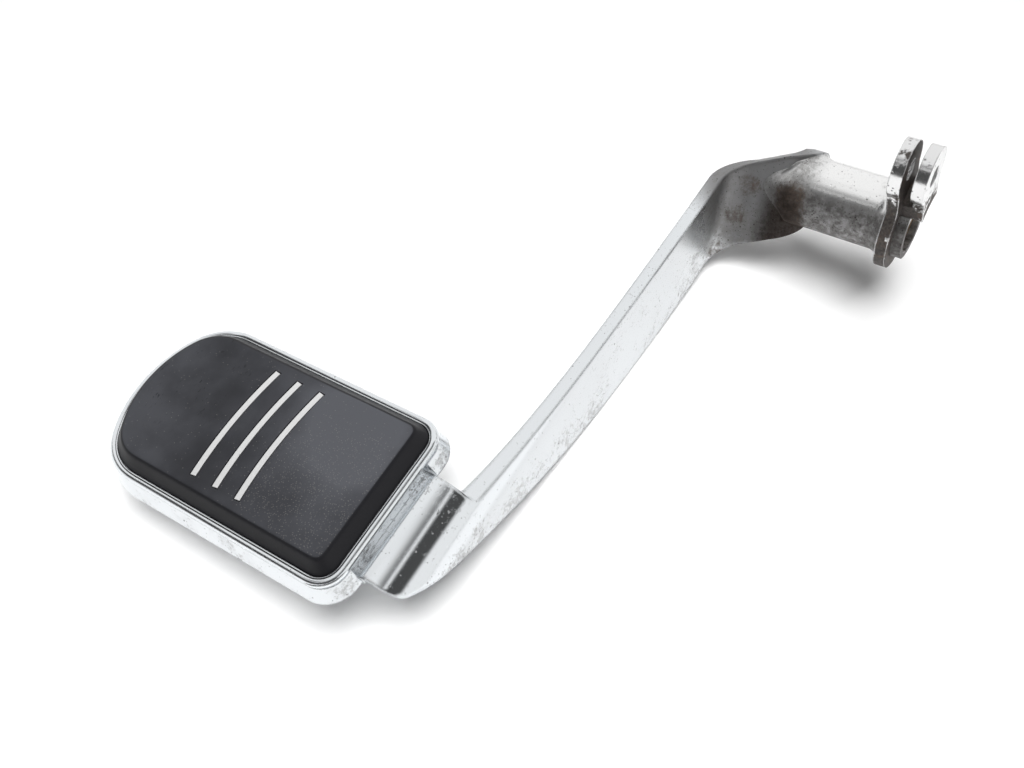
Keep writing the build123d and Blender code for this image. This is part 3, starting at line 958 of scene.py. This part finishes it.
class PedalShapeSettings(bpy.types.PropertyGroup):
    """Sizes of the pieces that are added to the frame."""

    rubber_margin: length_setting("Rubber margin", "From the rim's outer edge to the rubber", 0.0034)
    slot_width: length_setting("Slot width", "Width of a slot", 0.0027)
    slot_length: length_setting("Slot length", "Length of a slot", 0.051)
    slot_bulge: length_setting("Slot bulge", "Bow of a slot", 0.0019)
    slot_pitch: length_setting("Slot pitch", "Between slots", 0.011)
    slot_middle: length_setting("Slot middle", "From the rim's heel edge to the middle slot", 0.0605)
    slot_count: IntProperty(name="Slots", description="Number of slots", default=3, min=1)
    slot_lip: length_setting("Slot lip", "Rounding of a slot's lip", 0.0003)
    slot_depth: length_setting("Slot depth", "Depth of a slot", 0.0013)
    strip_gap: length_setting("Strip gap", "Beside a strip", 0.00012)
    strip_sink: length_setting("Strip sink", "Top of a strip below the rubber's top", 0.00005)
    strip_thickness: length_setting("Strip thickness", "Thickness of a strip", 0.0009)
    strip_bevel: length_setting("Strip bevel", "Rounding of a strip's edges", 0.00012)
    bead_half_width: length_setting("Bead half width", "Half the width of the rim's bead", 0.00155)
    bead_half_height: length_setting("Bead half height", "Half the height of the rim's bead", 0.0017)
    bead_sink: length_setting("Bead sink", "Middle of the bead below the rim's top", 0.0012)
    bead_inset: length_setting("Bead inset", "Bead's outer side within the rim's outer edge", 0.00005)
    rim_drop: length_setting("Rim drop", "Rim's top below the rubber's top", 0.0062)
    weld_sections: IntProperty(
        name="Weld sections", description="Sections round a weld", default=144, min=24)
    weld_rise: length_setting("Weld rise", "Climb up the arm", 0.0021)
    weld_leg: length_setting("Weld leg", "Length along the tube", 0.0065)
    run_leg: length_setting("Run leg", "Length along the run", 0.016)
    flare_rise: length_setting("Flare rise", "Climb up the flange", 0.0046)
    flare_leg: length_setting("Flare leg", "Length along the tube", 0.006)


class PedalStageSettings(bpy.types.PropertyGroup):
    """Camera, floor and light."""

    camera_place: FloatVectorProperty(
        name="Camera", description="Place of the camera", subtype="TRANSLATION", unit="LENGTH",
        default=(0.33363, 0.09284, 0.36881))
    camera_right: direction_setting(
        "Camera right", "Direction of the image's right side", -0.52795, 0.83526, -0.15366)
    camera_down: direction_setting(
        "Camera down", "Direction of the image's lower side", 0.7452, 0.36882, -0.55557)
    focal_pixels: FloatProperty(
        name="Focal length", description="Focal length in pixels of the image", default=1073.9, min=1.0)
    floor_slope: FloatVectorProperty(
        name="Floor slope", description="Rise of the floor along X and Y", size=2, default=(0.15, -0.1))
    floor_size: length_setting("Floor", "Length of the floor's sides", 6.0)
    front: direction_setting("Front", "Direction of the light tent's open side", 0.954, 0.298, 0.0)
    room_light: FloatProperty(
        name="Room light", description="Light of the tent's walls on matt surfaces", default=0.2, min=0.0)
    lamp_power: FloatProperty(
        name="Lamp", description="Power of the soft lamp overhead", default=47.0, min=0.0, subtype="POWER")
    lamp_lean: FloatVectorProperty(
        name="Lamp lean", description="Lean of the lamp's place from straight up", default=(0.22, 0.12, 0.0))
    lamp_width: length_setting("Lamp width", "Width of the lamp", 1.15)
    lamp_length: length_setting("Lamp length", "Length of the lamp", 1.0)
    lamp_distance: length_setting("Lamp distance", "From the part to the lamp", 2.0)


class PEDAL_OT_arm(bpy.types.Operator):
    """Finish the pedal arm in pitted chrome"""

    bl_idname = "pedal.arm"
    bl_label = "Pedal arm"

    def execute(self, context):
        """Give the arm its chrome."""
        finish = context.scene.pedal_finish
        chrome = plate_finish(
            "arm_chrome_plate", finish.chrome_tint, finish.chrome_roughness, finish,
            arm_masks, finish.edge_radius)
        wear_finish("pedal_arm", chrome)
        return {"FINISHED"}


class PEDAL_OT_hub(bpy.types.Operator):
    """Finish the pivot tube and its bushes, and weld the tube to the arm and the lever"""

    bl_idname = "pedal.hub"
    bl_label = "Hub"

    def execute(self, context):
        """Give the tube and bushes their finishes, and make the two welds."""
        finish = context.scene.pedal_finish
        shape = context.scene.pedal_shape
        chrome = plate_finish(
            "tube_chrome_plate", finish.tube_tint, finish.tube_roughness, finish,
            tube_masks, TUBE_EDGE)
        wear_finish("pivot_tube", chrome)
        bronze = bronze_finish(finish)
        wear_finish("bush_outboard", bronze)
        wear_finish("bush_inboard", bronze)
        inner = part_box("pivot_tube")[1][0] - WELD_ROOT
        arm_weld = weld_ring("arm_weld", arm_weld_profiles(shape), inner, 0.0, chrome)
        new_piece("arm_weld", arm_weld)
        lever_weld = weld_ring("lever_weld", lever_weld_profiles(shape), inner, 9.0, chrome)
        new_piece("lever_weld", lever_weld)
        return {"FINISHED"}


class PEDAL_OT_lever(bpy.types.Operator):
    """Finish the clevis lever in flaking chrome"""

    bl_idname = "pedal.lever"
    bl_label = "Clevis lever"

    def execute(self, context):
        """Give the lever its flaking plate."""
        wear_finish("clevis_lever", lever_finish(context.scene.pedal_finish))
        return {"FINISHED"}


class PEDAL_OT_tray(bpy.types.Operator):
    """Finish the pad's tray, with a rounded bead on its rim"""

    bl_idname = "pedal.tray"
    bl_label = "Pad tray"

    def execute(self, context):
        """Give the tray its chrome and its bead."""
        finish = context.scene.pedal_finish
        shape = context.scene.pedal_shape
        chrome = plate_finish(
            "tray_chrome_plate", finish.chrome_tint, finish.chrome_roughness, finish,
            tray_masks, TRAY_EDGE)
        wear_finish("pad_tray", chrome)
        out = shape.rubber_margin - shape.bead_half_width - shape.bead_inset
        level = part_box("pad_rubber")[1][2] - shape.rim_drop - shape.bead_sink
        base = loop_mesh("rim_line", drawn_in(pad_loop(BEAD_STEP), -out), level)
        values = {"Half width": shape.bead_half_width, "Half height": shape.bead_half_height}
        new_piece("rim_bead", grown("rim_bead", bead_tree(chrome), values, base, chrome))
        return {"FINISHED"}


class PEDAL_OT_rubber(bpy.types.Operator):
    """Mould the pad's rubber and lay the bright strips in its slots"""

    bl_idname = "pedal.rubber"
    bl_label = "Pad rubber"

    def execute(self, context):
        """Make the rubber and the strips."""
        finish = context.scene.pedal_finish
        shape = context.scene.pedal_shape
        rubber = new_piece("moulded_rubber", rubber_mesh(shape, rubber_finish(finish)))
        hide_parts("pad_rubber")
        metal = strip_finish(finish)
        first = strip_centres(shape)[0]
        half = shape.slot_length / 2 - shape.strip_gap
        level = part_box("pad_rubber")[1][2] - shape.strip_sink - shape.strip_thickness / 2
        values = {
            "Start": (first.x - half, first.y, level),
            "Middle": (first.x, first.y - shape.slot_bulge, level),
            "End": (first.x + half, first.y, level),
            "Width": shape.slot_width - 2 * shape.strip_gap,
            "Thickness": shape.strip_thickness,
            "Bevel": shape.strip_bevel,
            "Count": shape.slot_count,
            "Pitch": (0.0, shape.slot_pitch, 0.0),
        }
        base = bpy.data.meshes.new("strip_start")
        new_piece("pad_strips", grown("pad_strips", strip_tree(metal), values, base, metal))
        return {"FINISHED"}


class PEDAL_OT_fasteners(bpy.types.Operator):
    """Finish the studs, spring washers and nuts"""

    bl_idname = "pedal.fasteners"
    bl_label = "Fasteners"

    def execute(self, context):
        """Give the fasteners their zinc."""
        zinc = zinc_finish(context.scene.pedal_finish)
        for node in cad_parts:
            if "stud" in node:
                wear_finish(node, zinc)
        return {"FINISHED"}


class PEDAL_OT_stage(bpy.types.Operator):
    """Set the camera, the white floor and the soft light"""

    bl_idname = "pedal.stage"
    bl_label = "Stage"

    def execute(self, context):
        """Make the stage."""
        settings = context.scene.pedal_stage
        slope_x, slope_y = settings.floor_slope
        up = Vector((-slope_x, -slope_y, 1.0)).normalized()
        self.make_camera(context, settings)
        self.make_floor(settings, up)
        self.make_room(context, settings)
        self.make_lamp(settings, up)
        context.scene.view_settings.view_transform = "Standard"
        return {"FINISHED"}

    def make_camera(self, context, settings):
        """Camera at the photograph's place."""
        right = Vector(settings.camera_right).normalized()
        down = Vector(settings.camera_down)
        down = (down - right * down.dot(right)).normalized()
        back = right.cross(-down)
        turn = Matrix((right, -down, back)).transposed().to_4x4()
        data = bpy.data.cameras.new("pedal_camera")
        data.sensor_fit = "HORIZONTAL"
        data.sensor_width = SENSOR_WIDTH
        data.lens = settings.focal_pixels * data.sensor_width / IMAGE_SIZE[0]
        data.clip_start = CLIP_START
        camera = placed("pedal_camera", data)
        camera.matrix_world = Matrix.Translation(settings.camera_place) @ turn
        context.scene.camera = camera

    def make_floor(self, settings, up):
        """White floor that touches the part's lowest point."""
        lowest = min(up.dot(vertex.co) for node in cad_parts.values() for vertex in node.data.vertices)
        half = settings.floor_size / 2
        level_x = Vector((1.0, 0.0, -up.x / up.z)).normalized()
        level_y = up.cross(level_x)
        middle = up * lowest + level_x * STAGE_MIDDLE[0]
        signs = ((-1, -1), (1, -1), (1, 1), (-1, 1))
        corners = [middle + level_x * (half * a) + level_y * (half * b) for a, b in signs]
        mesh = bpy.data.meshes.new("white_floor")
        mesh.from_pydata(corners, [], [(0, 1, 2, 3)])
        wear_material(mesh, self.floor_finish())
        placed("white_floor", mesh)

    def seen(self, start):
        """One for rays that the camera, metal or glass sees, nought for light on matt surfaces."""
        camera = start.make("ShaderNodeLightPath", out="Is Camera Ray")
        glossy = start.make("ShaderNodeLightPath", out="Is Glossy Ray")
        clear = start.make("ShaderNodeLightPath", out="Is Transmission Ray")
        return camera.highest(glossy).highest(clear)

    def floor_finish(self):
        """White paper that reads as white to the camera and in the chrome, and keeps shadows."""
        material, start, surface = new_finish("white_paper")
        glow = self.seen(start).blend(BLACK, PAPER_GLOW)
        feed(surface, Base_Color=colour(PAPER), Roughness=0.9, Specular_IOR_Level=0.0)
        feed(surface, Emission_Color=glow, Emission_Strength=1.0)
        return material

    def make_room(self, context, settings):
        """Light tent: white walls and roof, with a dark opening on the camera's side."""
        world = bpy.data.worlds.new("light_tent")
        context.scene.world = world
        world.use_nodes = True
        tree = world.node_tree
        tree.nodes.clear()
        start = Wire(tree)
        front = Vector(settings.front).normalized()
        side = Vector((-front.y, front.x, 0.0))
        direction = start.make("ShaderNodeTexCoord", out="Generated")
        rise = axis_of(direction, "Z")
        ahead = along(direction, front)
        beside = along(direction, side)
        height = start.make("ShaderNodeValToRGB", {"stops": OPENING_STOPS}, {"Fac": rise})
        wall = abs(beside).step(*SIDE_WALL) * rise.step(*SIDE_WALL_TOP)
        opening = (ahead + beside.highest(0.0) * OPENING_SKEW).step(*OPENING_AHEAD)
        room = 1.0 - height * opening * (1.0 - wall) * OPENING_DARK
        seen = self.seen(start)
        strength = room * (seen + (1.0 - seen) * settings.room_light)
        feeds = {"Color": colour(WHITE), "Strength": strength}
        light = start.make("ShaderNodeBackground", feeds=feeds)
        output = tree.nodes.new("ShaderNodeOutputWorld")
        tree.links.new(light.socket, output.inputs["Surface"])

    def make_lamp(self, settings, up):
        """Wide soft lamp overhead, toward the tent's open side."""
        data = bpy.data.lights.new("soft_lamp", "AREA")
        data.shape = "RECTANGLE"
        data.size = settings.lamp_width
        data.size_y = settings.lamp_length
        data.energy = settings.lamp_power
        lamp = placed("soft_lamp", data)
        lamp.visible_glossy = False
        toward = (up + Vector(settings.lamp_lean)).normalized()
        place = Vector(STAGE_MIDDLE) + toward * settings.lamp_distance
        lamp.matrix_world = Matrix.Translation(place) @ toward.to_track_quat("Z", "Y").to_matrix().to_4x4()


class PEDAL_PT_sidebar(bpy.types.Panel):
    """List of the pedal's finishing steps"""

    bl_idname = "PEDAL_PT_sidebar"
    bl_label = "Brake pedal"
    bl_space_type = "VIEW_3D"
    bl_region_type = "UI"
    bl_category = "Pedal"

    def draw(self, context):
        """Show the settings and the operators."""
        scene = context.scene
        for group in (scene.pedal_finish, scene.pedal_shape, scene.pedal_stage):
            for name in group.bl_rna.properties.keys():
                if name not in ("rna_type", "name"):
                    self.layout.prop(group, name)
        for step in STEPS:
            self.layout.operator(step.bl_idname)


STEPS = (PEDAL_OT_arm, PEDAL_OT_hub, PEDAL_OT_lever, PEDAL_OT_tray, PEDAL_OT_rubber, PEDAL_OT_fasteners,
         PEDAL_OT_stage)
CLASSES = (PedalFinishSettings, PedalShapeSettings, PedalStageSettings) + STEPS + (PEDAL_PT_sidebar,)


def register():
    """Register the classes and their settings."""
    for part in CLASSES:
        bpy.utils.register_class(part)
    bpy.types.Scene.pedal_finish = PointerProperty(type=PedalFinishSettings)
    bpy.types.Scene.pedal_shape = PointerProperty(type=PedalShapeSettings)
    bpy.types.Scene.pedal_stage = PointerProperty(type=PedalStageSettings)


def unregister():
    """Take the classes and their settings away."""
    del bpy.types.Scene.pedal_stage
    del bpy.types.Scene.pedal_shape
    del bpy.types.Scene.pedal_finish
    for part in reversed(CLASSES):
        bpy.utils.unregister_class(part)


def main():
    """Run every step."""
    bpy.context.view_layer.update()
    register()
    bpy.ops.pedal.arm()
    bpy.ops.pedal.hub()
    bpy.ops.pedal.lever()
    bpy.ops.pedal.tray()
    bpy.ops.pedal.rubber()
    bpy.ops.pedal.fasteners()
    bpy.ops.pedal.stage()


if __name__ == "__main__":
    main()
